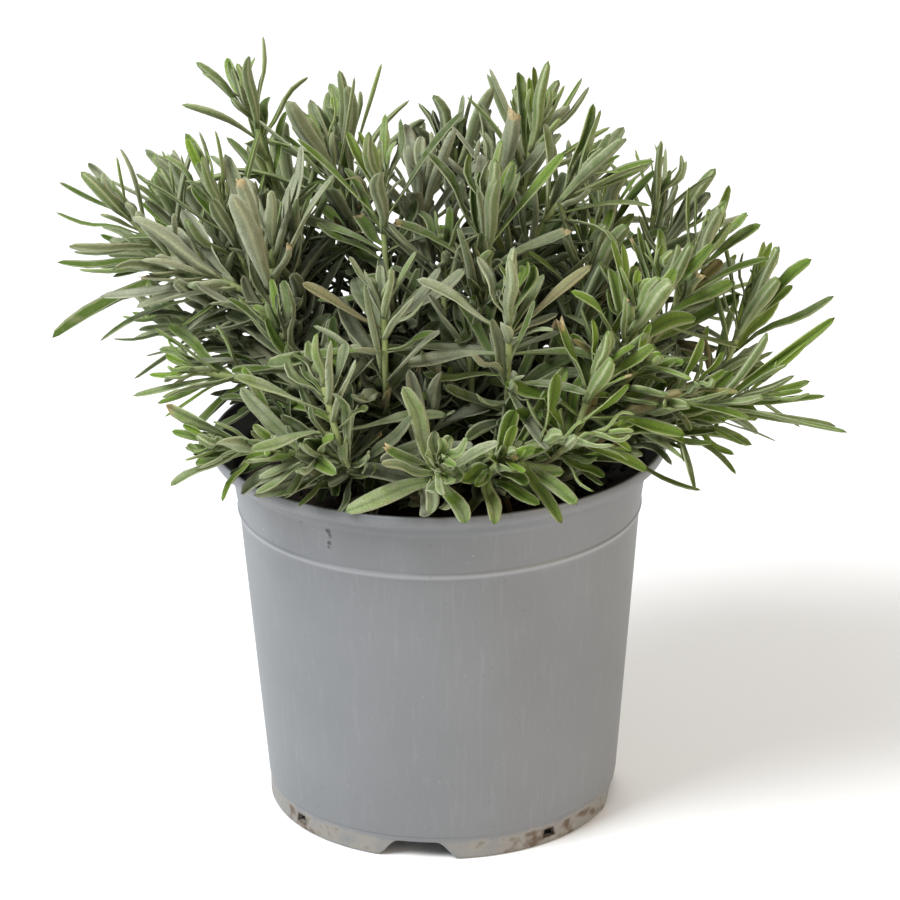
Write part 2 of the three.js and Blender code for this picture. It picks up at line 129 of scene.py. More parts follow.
# What a user would change about the view: a long lens in front of the plant that looks down on it.
view = {
    "aim": (3.1, 0, 103.7),  # mm
    "distance": 1070,  # mm
    "pitch": 21.06,  # degrees down
    "roll": 0.65,  # degrees
    "lens": 151.5,  # mm, on a sensor 36 mm wide
}


def makeCamera():
    pitch = math.radians(view["pitch"])
    lens = bpy.data.cameras.new("camera")
    lens.lens = view["lens"]
    lens.sensor_width = 36
    lens.clip_start = 0.05
    camera = bpy.data.objects.new("camera", lens)
    back = np.array([0, -math.cos(pitch), math.sin(pitch)]) * view["distance"]
    tilt = Matrix.Rotation(math.pi / 2 - pitch, 4, "X")
    roll = Matrix.Rotation(math.radians(-view["roll"]), 4, "Z")
    place = (np.array(view["aim"]) + back) * mm
    camera.matrix_world = Matrix.Translation(place.tolist()) @ tilt @ roll
    bpy.context.scene.collection.objects.link(camera)
    bpy.context.scene.camera = camera


makeCamera()
print("camera set")


# What a user would change about the pot: lengths in mm, radii outside.
potLow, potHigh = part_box("pot")
potShape = {
    "height": potHigh.z / mm,
    "rim": (potHigh.x - potLow.x) / 2 / mm,  # outer radius of the flared lip
    "lip": 3.6,  # its height
    "collar": 58.8,  # radius under the lip
    "collarDrop": 1.8,  # how much the collar narrows downwards
    "collarHeight": 20.6,  # from the top to the step under the collar
    "stepIn": 0.5,
    "foot": 50.4,  # radius at the top of the foot band
    "footHeight": 6.5,
    "footInset": 0.3,
    "wall": 1.1,
    "stand": 1.8,  # width of the ring that it stands on
    "floor": 1.1,  # thickness
    "notchTurn": -98.5,  # degrees from +X
    "notchBottom": 24,
    "notchTop": 11,
    "notchHeight": 5.3,
    "drainSize": (4.4, 2.6),  # width at the bottom, and height
    "drainLevel": 2,
    "turns": 256,  # corners round the pot
}


# a corner list [r, z, radius] made smooth: each corner becomes a quadratic curve that starts and
# ends one radius away from it
def roundedOutline(corners, steps=4):
    corners = np.array(corners, float)
    places, radii = corners[:, :2], corners[:, 2]
    outline = [places[:1]]
    share = np.linspace(0, 1, steps + 1)[:, None]
    for before, corner, after, radius in zip(places, places[1:], places[2:], radii[1:]):
        start = corner + (before - corner) * min(0.49, radius / np.linalg.norm(before - corner))
        end = corner + (after - corner) * min(0.49, radius / np.linalg.norm(after - corner))
        outline.append((1 - share) ** 2 * start + 2 * share * (1 - share) * corner + share ** 2 * end)
    outline.append(places[-1:])
    return np.concatenate(outline)


# the inside from the floor's middle up to the rim, and the outside from there down to the middle of
# the underside: a flared lip, a collar with a bead under it, a tapered body and a foot band
def potOutlines():
    p = potShape
    top, lipFoot = p["height"], p["height"] - p["lip"]
    step = p["height"] - p["collarHeight"]
    bodyTop = p["collar"] - p["collarDrop"] - p["stepIn"]
    footSide = p["foot"] - p["footInset"]
    standInside = footSide - p["stand"]
    floorTop = p["footHeight"] + p["floor"]
    wall = p["wall"]
    inside = [
        (0, floorTop, 0),
        (p["foot"] - wall - 1, floorTop, 1.2),
        (p["foot"] - wall, floorTop + 1.5, 1),
        (bodyTop - wall, step - p["stepIn"], 0.6),
        (p["collar"] - p["collarDrop"] - wall, step, 0.5),
        (p["collar"] - wall, lipFoot - 3.4, 1.5),
        (p["rim"] - wall - 0.6, lipFoot + 1.8, 1.2),
        (p["rim"] - wall - 0.3, top, 0.4),
    ]
    outside = [
        (p["rim"] - wall - 0.3, top, 0.4),
        (p["rim"] - 0.35, top, 0.45),
        (p["rim"], lipFoot + 1.9, 0.7),
        (p["rim"] - 0.75, lipFoot + 0.1, 0.5),
        (p["rim"] - 2.3, lipFoot - 0.9, 0.8),
        (p["collar"], lipFoot - 3.6, 1.6),
        (p["collar"] - p["collarDrop"] + 0.02, step + 1.4, 0.25),
        (p["collar"] - p["collarDrop"] + 0.42, step + 0.8, 0.3),
        (bodyTop + 0.1, step - p["stepIn"] - 1.2, 1),
        (p["foot"], p["footHeight"] + 0.6, 0.3),
        (p["foot"] - 0.35, p["footHeight"] + 0.1, 0.25),
        (footSide, p["footHeight"] - 0.5, 0.4),
        (footSide, 0.55, 0.4),
        (footSide - 0.55, 0, 0.4),
        (standInside, 0, 0.3),
        (standInside, p["footHeight"] - 1.2, 0.8),
        (standInside - 0.1, p["footHeight"], 0.05),
        (0, p["footHeight"], 0),
    ]
    return roundedOutline(inside), roundedOutline(outside)


# height of the ground edge round the pot: four notches, flat on top, with sloping sides
def notchLift(angle):
    p = potShape
    turn = (np.degrees(angle) - p["notchTurn"] + 45) % 90 - 45
    across = np.abs(np.radians(turn)) * (p["foot"] - p["footInset"])
    return p["notchHeight"] * (1 - easeBetween(p["notchTop"] / 2, p["notchBottom"] / 2, across))


# the whole pot: its outline turned about Z; below the foot line each height z becomes
# lift + z (1 - lift / foot height), so the foot's edge rises over the notches
def makePot(outer, inner):
    insideLine, outsideLine = potOutlines()
    line = np.concatenate([insideLine, outsideLine[1:]])
    ring = line[1:-1]
    angle = np.arange(potShape["turns"]) / potShape["turns"] * 2 * math.pi
    radius, height = ring[:, 0][None, :], ring[:, 1][None, :]
    lift = notchLift(angle)[:, None]
    under = height < potShape["footHeight"] - 0.01
    height = np.where(under, lift + height * (1 - lift / potShape["footHeight"]), height)
    radius = np.broadcast_to(radius, height.shape)
    grid = np.stack([radius * np.cos(angle)[:, None], radius * np.sin(angle)[:, None], height], -1)
    turns, rows = height.shape
    number = np.arange(turns * rows).reshape(turns, rows)
    following = np.roll(number, -1, axis=0)
    quads = np.stack([number[:, 1:], following[:, 1:], following[:, :-1], number[:, :-1]], -1)
    floorPole, footPole = turns * rows, turns * rows + 1
    floorFan = [[a, b, floorPole] for a, b in zip(number[:, 0].tolist(), following[:, 0].tolist())]
    footFan = [[b, a, footPole] for a, b in zip(number[:, -1].tolist(), following[:, -1].tolist())]
    points = np.concatenate([grid.reshape(-1, 3), [[0, 0, line[0, 1]], [0, 0, line[-1, 1]]]]) * mm
    faces = quads.reshape(-1, 4).tolist() + floorFan + footFan
    insideRows = np.tile(np.arange(rows - 1) < len(insideLine) - 1, turns)
    slots = np.concatenate([insideRows, np.ones(turns), np.zeros(turns)]).astype(int)
    return makePiece("moulded_pot", points, faces, [outer, inner], materialIndex=slots)


# A packed leaf is a foot on the stem, two four-cornered sections and a point. These are the shares
# of its length at which it has them.
knotAt = np.array([0, 0.34, 0.74, 1])


# corners of a node without doubles, and a matrix that says which two share an edge
def readGraph(node):
    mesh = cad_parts[node].data
    corners = np.empty(len(mesh.vertices) * 3, np.float32)
    mesh.vertices.foreach_get("co", corners)
    loops = np.empty(len(mesh.loops), np.int32)
    mesh.loops.foreach_get("vertex_index", loops)
    points, number = np.unique(np.round(corners.reshape(-1, 3), 6), axis=0, return_inverse=True)
    triangle = number.ravel()[loops].reshape(-1, 3)
    joined = np.zeros((len(points), len(points)), bool)
    for a, b in ((0, 1), (1, 2), (2, 0)):
        joined[triangle[:, a], triangle[:, b]] = True
    return points.astype(float), joined | joined.T


# the stem's rings of four corners, in order from the root to the tip
def stemRings(points, joined, isStem, isFoot):
    reached, last = isFoot.copy(), isFoot
    while last.any():
        first = np.flatnonzero(last)[0]
        last = joined[last].any(0) & isStem & ~reached
        reached |= last
    stem = np.flatnonzero(isStem)
    gap = np.linalg.norm(points[stem] - points[first], axis=1)
    ring = stem[np.argsort(gap)[:4]]
    seen = np.zeros(len(points), bool)
    rings = []
    while len(ring):
        rings.append(points[ring[:4]])
        seen[ring] = True
        ring = np.flatnonzero(joined[ring].any(0) & isStem & ~seen)
    return np.array(rings)


# A shoot as arrays: stem rings, and for each leaf its four knots along its middle, the direction
# across it at the first three, and half its greatest width.
def readShoot(node):
    points, joined = readGraph(node)
    edge = np.linalg.norm(points[:, None] - points[None], axis=-1)
    shortest = np.where(joined, edge, np.inf).min(1)
    tips = np.flatnonzero((joined.sum(1) == 4) & (shortest > 2.5 * mm))
    atTip = np.zeros((len(tips), len(points)), bool)
    atTip[np.arange(len(tips)), tips] = True
    outer = joined[tips]
    inner = (outer @ joined) & ~outer & ~atTip
    foot = (inner @ joined) & ~inner & ~outer
    isStem = ~(outer | inner | atTip).any(0)
    rings = stemRings(points, joined, isStem, foot.any(0))
    corners = np.stack([points[np.nonzero(part)[1].reshape(-1, 4)] for part in (foot, inner, outer)], 1)
    knots = np.concatenate([corners.mean(2), points[tips][:, None]], 1)
    spread = corners - corners.mean(2, keepdims=True)
    size, axes = np.linalg.eigh(np.einsum("lkca,lkcb->lkab", spread, spread) / 4)
    middles = rings.mean(1)
    nearest = np.linalg.norm(knots[:, 0, None] - middles[None], axis=-1).argmin(1)
    aim = unit(np.gradient(middles, axis=0))[nearest]
    out = unit(knots[:, 0] - middles[nearest])
    out = unit(out - (out * aim).sum(1, keepdims=True) * aim)
    footSide = np.cross(aim, out)
    forward = unit(np.gradient(knots, axis=1))
    sides = [footSide]
    for k in (1, 2):
        across = axes[:, k, :, 2]
        up = np.cross(forward[:, k], across)
        across = across * np.sign((up * (aim - out)).sum(1, keepdims=True))
        sides.append(across)
    return {
        "rings": rings,
        "knots": knots,
        "sides": np.stack(sides, 1),
        "half": np.sqrt(size[:, 2, 2]),
        "aim": aim,
        "out": out,
    }


shootNames = sorted(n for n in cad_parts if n.startswith("shoot_"))
skeletons = {name: readShoot(name) for name in shootNames}
print("skeletons:", len(skeletons), "shoots,", sum(len(s["half"]) for s in skeletons.values()), "leaves")


# What a user would change about the leaves. Lengths are in mm, angles in degrees.
foliage = {
    "stations": [0, 0.1, 0.25, 0.42, 0.58, 0.73, 0.86, 0.95],  # share of the length at each ring
    "footWidth": 0.42,  # width at the stem as a share of the greatest
    "widest": 0.66,  # share of the length at which a leaf is widest
    "groove": -0.2,  # sunken midline, as a share of half the width
    "shoulder": 0.14,  # lift of the blade's halves beside it
    "margin": -0.02,  # lift of the edges
    "rib": -0.32,  # midrib under the blade
    "lightTwist": 50,  # most that an added leaf turns its face to the light
    "axilShare": 0.7,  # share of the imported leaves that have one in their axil
    "lowerSpacing": 5.5,  # mm between pairs of older leaves
    "tufts": 3,  # side shoots on a stem
    "bush": (0.105, 0.088, 0.11),  # half sizes of the bush round its middle, metres
    "bushMiddle": (0, 0, 0.108),
    "torn": 0.035,  # share of the leaves with a torn end
    "turned": {"left_trailing": -42},  # a packed leaf's turn about itself, degrees
    "seed": 11,
}


# weights of the four knots at each share t of the length: the cubic through all four
def knotWeights(t):
    weights = []
    for k in range(4):
        others = np.delete(knotAt, k)
        weights.append(np.prod((t[:, None] - others) / (knotAt[k] - others), axis=1))
    return np.stack(weights, 1)


# Leaves as closed surfaces of eight six-cornered rings and a tip. A ring stands at C(t) + a w(t) S
# + h U, with C the cubic through the knots, S across, U up, a across the section and h its lift.
# w(t) eases from the foot's width to the widest place, then closes as the root of 1 - x^2.4. A torn
# leaf doesn't close, and its last ring is ragged.
def leafSurfaces(knots, sides, half, fold, torn, rng):
    f = foliage
    count = len(half)
    stations = np.array(f["stations"])
    t = np.append(stations, 1)
    centre = np.einsum("sk,lkc->lsc", knotWeights(t), knots)
    wave = rng.normal(0, 0.5 * mm, (count, 1, 3)) * np.sin(math.pi * 2.2 * t)[None, :, None]
    centre = centre + wave * easeBetween(0, 0.4, t)[None, :, None]
    forward = unit(np.gradient(centre, t, axis=1))
    share = np.stack([np.interp(t, knotAt[:3], row) for row in np.eye(3)], 1)
    side = np.einsum("sk,lkc->lsc", share, sides)
    side = unit(side - (side * forward).sum(-1, keepdims=True) * forward)
    up = np.cross(forward, side)
    widest = f["widest"] + rng.uniform(-0.12, 0.05, (count, 1))
    rise = f["footWidth"] + (1 - f["footWidth"]) * np.sin(np.clip(t / widest, 0, 1) * math.pi / 2) ** 1.4
    close = np.sqrt(1 - np.clip((t - widest) / (1.015 - widest), 0, 1) ** 2.4)
    close = np.where(torn[:, None], np.maximum(close, 0.8), close)
    width = (rise * close * half[:, None])[:, :, None]
    across = np.array([1, 0.55, 0, -0.55, -1, 0])
    lift = np.array([f["margin"], f["shoulder"], f["groove"], f["shoulder"], f["margin"], f["rib"]])
    bend = fold[:, None, None] * (np.abs(across) ** 2 - 0.3)
    depth = np.maximum(width, 0.45 * half[:, None, None])
    points = centre[:, :, None] + side[:, :, None] * (across * width)[..., None]
    points = points + up[:, :, None] * ((lift + bend) * depth)[..., None]
    rings = len(stations)
    ragged = rng.uniform(-1.2, 0.9, (count, len(across))) * half[:, None] * torn[:, None]
    points[:, rings - 1] += forward[:, rings - 1, None] * ragged[..., None]
    body = points[:, :rings].reshape(count, -1, 3)
    end = np.where(torn[:, None, None], centre[:, rings - 1:rings], centre[:, rings:])
    return np.concatenate([body, end], 1), t[:rings], across


# quads between rings of a given size, numbered from first; then a fan to the tip and a flat foot
def tubeFaces(rings, size, first, tip=True):
    number = first + np.arange(rings * size).reshape(rings, size)
    turned = np.roll(number, -1, axis=1)
    quads = np.stack([number[:-1], turned[:-1], turned[1:], number[1:]], -1).reshape(-1, 4).tolist()
    foot = [number[0, ::-1].tolist()]
    if not tip:
        return quads + foot + [number[-1].tolist()]
    point = first + rings * size
    return quads + foot + [[a, b, point] for a, b in zip(number[-1].tolist(), turned[-1].tolist())]


# Knots and side directions of leaves that grow from base: they open by an angle from aim towards
# out, close again by bend along an arc, and sag with the square of the distance. The sides turn by
# the sine of the angle between the upper face and the light from above and outside.
def arcLeaves(base, aim, out, opening, bend, length, sag):
    side = np.cross(aim, out)
    bend = np.where(np.abs(bend) < 0.02, 0.02, bend)
    knots, sides = [], []
    light = unit(base - np.array([0, 0, 75 * mm]))
    for t in knotAt:
        ahead = (np.sin(opening) - np.sin(opening - bend * t)) / bend
        away = (np.cos(opening - bend * t) - np.cos(opening)) / bend
        place = base + aim * (length * ahead)[:, None] + out * (length * away)[:, None]
        knots.append(place - np.array([0, 0, 1]) * (sag * t * t)[:, None])
        angle = opening - bend * t
        forward = aim * np.cos(angle)[:, None] + out * np.sin(angle)[:, None]
        up = np.cross(forward, side)
        lit = unit(light - (light * forward).sum(1, keepdims=True) * forward)
        turn = math.radians(foliage["lightTwist"]) * t * (np.cross(up, lit) * forward).sum(1)
        sides.append(side * np.cos(turn)[:, None] + up * np.sin(turn)[:, None])
    return np.stack(knots, 1), np.stack(sides[:3], 1)


# a direction square to aim: start turned about aim by an angle
def turnedAbout(aim, start, angle):
    second = np.cross(aim, start)
    return start * np.cos(angle)[:, None] + second * np.sin(angle)[:, None]


rimLevel = potHigh.z
mixLow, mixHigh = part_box("potting_mix")
mouthRadius = mixHigh.x


# Leaves that would run through the pot, the mix or the model's box are left out.
def clearOf(knots):
    t = np.linspace(0.15, 1, 9)
    path = np.einsum("sk,lkc->lsc", knotWeights(t), knots)
    radius = np.hypot(path[..., 0], path[..., 1])
    inPot = (path[..., 2] < rimLevel + 1.5 * mm) & (radius > mouthRadius - 2 * mm)
    inMix = path[..., 2] < mixHigh.z + 1 * mm
    low, high = np.array(cadBox[0]) - 3 * mm, np.array(cadBox[1]) + 3 * mm
    outside = ((path < low) | (path > high)).any(-1)
    return ~(inPot | inMix | outside).any(1)


# The small leaves round a shoot's tip: pairs, each at right angles to the last, shorter and more
# upright towards the bud.
def budLeaves(aim, start, place, longest, half, shares, angles, rng):
    level = np.repeat(np.arange(len(shares)), 2)
    n = len(level)
    angle = math.pi / 2 * (level + 1) + math.pi * (np.arange(n) % 2) + rng.normal(0, 0.22, n)
    aims = np.tile(aim, (n, 1))
    out = turnedAbout(aims, np.tile(start, (n, 1)), angle)
    base = place + aims * (level * 0.7 * mm)[:, None] + out * 0.35 * mm
    length = longest * np.array(shares)[level] * rng.uniform(0.8, 1.2, n)
    opening = np.radians(np.array(angles)[level] + rng.normal(0, 7, n))
    bend = np.radians(rng.normal(4, 14, n))
    knots, sides = arcLeaves(base, aims, out, opening, bend, length, np.zeros(n))
    return knots, sides, half * (0.5 + 0.5 * np.array(shares)[level]), np.zeros(n)


def tipLeaves(shoot, middles, rng):
    aim = unit(middles[-1] - middles[-3])
    start = shoot["out"][np.argmin(np.linalg.norm(shoot["knots"][:, 0] - middles[-2], axis=1))]
    start = unit(start - (start @ aim) * aim)
    longest = np.linalg.norm(shoot["knots"][:, 3] - shoot["knots"][:, 0], axis=1).max()
    half = shoot["half"].mean() * 0.95
    return budLeaves(aim, start, middles[-1], longest, half, [0.52, 0.36, 0.22], [30, 20, 9], rng)


# Leaves in the axils: one beside most packed leaves, two fifths to nine tenths of its length, that
# opens about as far.
def axilLeaves(shoot, rng):
    keep = rng.random(len(shoot["half"])) < foliage["axilShare"]
    knots, aim, half = shoot["knots"][keep], shoot["aim"][keep], shoot["half"][keep]
    n = len(half)
    chord = knots[:, 3] - knots[:, 0]
    length = np.linalg.norm(chord, axis=1)
    opening = np.arccos(np.clip((unit(chord) * aim).sum(1), -1, 1)) * rng.uniform(0.7, 1.05, n)
    turn = rng.choice([-1, 1], n) * rng.uniform(0.6, 1.35, n)
    out = turnedAbout(aim, shoot["out"][keep], turn)
    base = knots[:, 0] + aim * rng.uniform(0.3, 1.6, n)[:, None] * mm
    bend = np.radians(rng.normal(2, 16, n))
    sag = rng.uniform(0, 2, n) * mm
    made = arcLeaves(base, aim, out, opening, bend, length * rng.uniform(0.42, 0.88, n), sag)
    return *made, half * rng.uniform(0.6, 0.88, n), np.zeros(n)


# Older leaves on the bare part of a stem, in pairs, that open wider lower down.
def lowerLeaves(shoot, middles, distance, bareLength, rng):
    at = np.arange(bareLength * 0.1, bareLength - 3 * mm, foliage["lowerSpacing"] * mm)
    at = at + rng.uniform(-1.5, 1.5, len(at)) * mm
    place = alongPath(middles, distance, at)
    aim = unit(alongPath(middles, distance, at + 1 * mm) - place)
    level = np.repeat(np.arange(len(at)), 2)
    n = len(level)
    flat = np.cross(aim, [0.3, 0.2, 1])
    angle = math.pi / 2 * level + math.pi * (np.arange(n) % 2) + rng.normal(0, 0.35, n)
    out = turnedAbout(aim[level], unit(flat)[level], angle)
    height = at[level] / bareLength
    base = place[level] + out * 0.5 * mm
    length = rng.uniform(18, 32, n) * mm
    opening = np.radians(rng.uniform(50, 92, n) - 20 * height)
    bend = np.radians(rng.normal(6, 24, n))
    knots, sides = arcLeaves(base, aim[level], out, opening, bend, length, rng.uniform(0, 6, n) * mm)
    half = rng.uniform(1.5, 2.4, n) * mm
    return knots, sides, half, 1 - height


# Short side shoots on the upper part of the bare stem, each a tuft of three pairs of leaves.
def sideTufts(middles, distance, bareLength, rng):
    tufts = []
    for at in rng.uniform(0.35, 0.92, foliage["tufts"]) * bareLength:
        place, ahead = alongPath(middles, distance, np.array([at, at + 1 * mm]))
        stem = unit(ahead - place)
        turn = rng.uniform(0, 2 * math.pi, 1)
        out = turnedAbout(stem[None], unit(np.cross(stem, [0.3, 0.2, 1]))[None], turn)[0]
        aim = unit(out + stem * rng.uniform(0.5, 1.3))
        start = unit(np.cross(aim, stem))
        longest = rng.uniform(17, 27) * mm
        half = rng.uniform(1.6, 2.1) * mm
        foot = place + aim * 1.5 * mm
        tufts.append(budLeaves(aim, start, foot, longest, half, [1, 0.8, 0.5], [58, 38, 16], rng))
    knots, sides, halves, _ = (np.concatenate(parts) for parts in zip(*tufts))
    return knots, sides, halves, np.full(len(halves), 0.35)


# What a user would change about the stems.
stemShape = {
    "step": 3,  # mm between rings
    "buried": 5,  # mm of length in the potting mix
    "swelling": 0.22,  # at the nodes, as a share of the width
    "cut": 0.45,  # where the square's corners are cut
    "tip": 0.45,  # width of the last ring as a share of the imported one
}


# A stem as a tube: rings of eight corners, a square with its corners cut, carried along the packed
# rings. Its width is theirs, and swells at each node as exp(-(s - node)^2 / 1 mm^2).
def stemTube(rings, middles, distance, nodesAt):
    even = np.arange(-stemShape["buried"] * mm, distance[-1], stemShape["step"] * mm)
    besides = [nodesAt, nodesAt - 1.2 * mm, nodesAt + 1.2 * mm]
    at = np.unique(np.concatenate([even, *besides, distance[-1:]]))
    inside = np.clip(at, 0, distance[-1])
    places = alongPath(middles, distance, inside)
    after = alongPath(middles, distance, inside + 0.2 * mm)
    before = alongPath(middles, distance, inside - 0.2 * mm)
    aim = unit(after - before)
    aim[inside <= 0] = unit(middles[1] - middles[0])
    places = places + aim * (at - inside)[:, None]
    corner = rings[0, 0] - middles[0]
    frames = []
    for direction in aim:
        corner = corner - (corner @ direction) * direction
        corner = corner / np.linalg.norm(corner)
        frames.append(corner)
    diagonal = np.array(frames)
    other = np.cross(aim, diagonal)
    first, second = (diagonal + other) / math.sqrt(2), (other - diagonal) / math.sqrt(2)
    half = np.interp(at, distance, np.linalg.norm(rings[:, 0] - middles, axis=1) / math.sqrt(2))
    swell = np.exp(-(((at[:, None] - nodesAt) / (1 * mm)) ** 2)).sum(1)
    half = half * (1 + stemShape["swelling"] * np.minimum(swell, 1))
    half[-1] = half[-1] * stemShape["tip"]
    cut = stemShape["cut"]
    a = np.array([1, cut, -cut, -1, -1, -cut, cut, 1])
    b = np.array([cut, 1, 1, cut, -cut, -1, -1, -cut])
    corners = a[:, None] * first[:, None] + b[:, None] * second[:, None]
    grid = places[:, None] + half[:, None, None] * corners
    return grid.reshape(-1, 3), tubeFaces(len(at), 8, 0, tip=False), np.repeat(at / distance[-1], 8)


# What a user would change about the shoots' colours: felt, from green 0 to silver 1, and tint, from
# deep green 0 to yellow green 1.
looks = {
    "crown_left_silver": (0.9, 0.4),
    "crown_middle_silver": (1.0, 0.35),
    "crown_mid_right_silver": (0.8, 0.3),
    "crown_back_dark": (0.15, 0.1),
    "crown_far_left": (0.2, 0.55),
    "crown_left": (0.2, 0.6),
    "crown_mid_left": (0.32, 0.5),
    "crown_middle": (0.3, 0.5),
    "crown_mid_right": (0.25, 0.5),
    "crown_right": (0.15, 0.5),
    "left_silver_fan": (0.9, 0.35),
    "left_low": (0.2, 0.75),
    "left_lip": (0.25, 0.7),
    "left_trailing": (0.3, 0.25),
    "front_left_bud": (0.62, 0.5),
    "front_right_bud": (0.5, 0.55),
    "front_left": (0.5, 0.5),
    "front_left_low": (0.4, 0.5),
    "front_lip": (0.45, 0.6),
    "front_middle_silver": (0.9, 0.35),
    "front_right": (0.0, 0.75),
    "front_right_low": (0.0, 0.7),
    "right_spoon": (0.0, 0.75),
    "right_spoon_back": (0.02, 0.65),
    "right_upper": (0.1, 0.6),
    "right_outer": (0.15, 0.6),
    "right_slender": (0.1, 0.55),
    "right_hooked": (0.25, 0.5),
    "right_lip": (0.1, 0.6),
    "right_wispy": (0.1, 0.5),
    "inner_right": (0.1, 0.5),
    "inner_front_right": (0.05, 0.6),
    "inner_back_right": (0.15, 0.4),
    "front_right_lip": (0.15, 0.6),
    "inner_low_right": (0.1, 0.5),
    "other": (0.3, 0.42),
}


# One shoot: its stem and all its leaves, with the attributes that the leaf and stem materials read.
def makeShoot(name, leafMaterial, stemMaterial, number):
    rng = np.random.default_rng(foliage["seed"] * 1000 + number)
    shoot = skeletons[name]
    rings = shoot["rings"]
    middles = rings.mean(1)
    distance = np.concatenate([[0], np.cumsum(np.linalg.norm(np.diff(middles, axis=0), axis=1))])
    feet = np.linalg.norm(shoot["knots"][:, :1] - middles[None], axis=-1).argmin(1)
    nodesAt = np.unique(distance[feet])
    stemPoints, stemFaces, stemShare = stemTube(rings, middles, distance, nodesAt)
    turn = math.radians(foliage["turned"].get(name.removeprefix("shoot_"), 0))
    ahead = unit(np.gradient(shoot["knots"], axis=1))[:, :3]
    sides = shoot["sides"] * math.cos(turn) + np.cross(ahead, shoot["sides"]) * math.sin(turn)
    own = (shoot["knots"], sides, shoot["half"], np.zeros(len(shoot["half"])))
    bare = nodesAt.min()
    groups = [
        own,
        tipLeaves(shoot, middles, rng),
        axilLeaves(shoot, rng),
        lowerLeaves(shoot, middles, distance, bare, rng),
        sideTufts(middles, distance, bare, rng),
    ]
    kept = [[part[clearOf(group[0])] for part in group] for group in groups]
    knots, sides, half, old = (np.concatenate(parts) for parts in zip(*kept))
    count = len(half)
    kind = np.repeat(np.arange(len(kept)), [len(group[2]) for group in kept])
    fold = rng.normal(0.28, 0.16, count)
    torn = (rng.random(count) < foliage["torn"]) & (kind != 1)
    points, t, across = leafSurfaces(knots, sides, half, fold, torn, rng)
    perLeaf = points.shape[1]
    size = len(across)
    felt, tint = looks.get(name.removeprefix("shoot_"), looks["other"])
    # how deep in the bush a leaf's middle lies, which sets its painted shade: 0 at its outside, 1 well
    # inside
    reach = np.linalg.norm((knots.mean(1) - foliage["bushMiddle"]) / foliage["bush"], axis=1)
    paintedShade = 1 - easeBetween(0.42, 0.92, reach)
    faces, stemCorners = list(stemFaces), len(stemPoints)
    for leaf in range(count):
        faces += tubeFaces(len(t), size, stemCorners + leaf * perLeaf)
    alongLeaf = np.append(np.repeat(t, size), 1)
    feltOf = felt + rng.normal(0, 0.2, count) - 0.15 * (kind == 1) - 0.2 * old
    tintOf = tint + rng.normal(0, 0.17, count) + 0.3 * (kind == 1) - 0.35 * old
    ageOf = old * 0.55 * rng.uniform(0, 1.2, count)
    ageOf = ageOf + rng.choice([0, 0.3, 0.75], count, p=[0.84, 0.14, 0.02])
    perLeafShades = {"felt": feltOf, "tint": tintOf, "age": ageOf, "paintedShade": paintedShade}
    shades = {key: np.repeat(np.clip(values, 0, 1), perLeaf) for key, values in perLeafShades.items()}
    shades["along"] = np.tile(alongLeaf, count)
    shades["across"] = np.tile(np.append(np.tile(across, len(t)), 0), count)
    shades["under"] = np.tile(np.append(np.tile([0.3, 0, 0, 0, 0.3, 1], len(t)), 0.3), count)
    shades["torn"] = np.repeat(torn, perLeaf) * easeBetween(0.8, 0.97, shades["along"])
    stemShades = {
        "along": stemShare,
        "felt": np.full(stemCorners, felt),
        "tint": np.full(stemCorners, tint),
    }
    bareStem = np.zeros(stemCorners)
    for key, values in shades.items():
        shades[key] = np.concatenate([stemShades.get(key, bareStem), values])
    slots = np.zeros(len(faces), int)
    slots[: len(stemFaces)] = 1
    piece = makePiece(
        name.removeprefix("shoot_") + "_foliage",
        np.concatenate([stemPoints, points.reshape(-1, 3)]),
        faces,
        [leafMaterial, stemMaterial],
        shades,
        slots,
    )
    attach(piece, "root")
    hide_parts(name)
    return count


# Lays colours over a base one by one. A layer is its colour, the value that brings it in, the value
# at which it starts and is full, and the most that it covers.
def coverWith(tree, colour, layers):
    for hexColour, value, start, full, most in layers:
        cover = addNode(
            tree,
            "ShaderNodeMapRange",
            {"Value": value, "From Min": start, "From Max": full, "To Min": 0.0, "To Max": most},
        ).outputs[0]
        colour = addNode(
            tree, "ShaderNodeMix", {0: cover, 6: colour, 7: toLinear(hexColour)}, data_type="RGBA"
        ).outputs[2]
    return colour
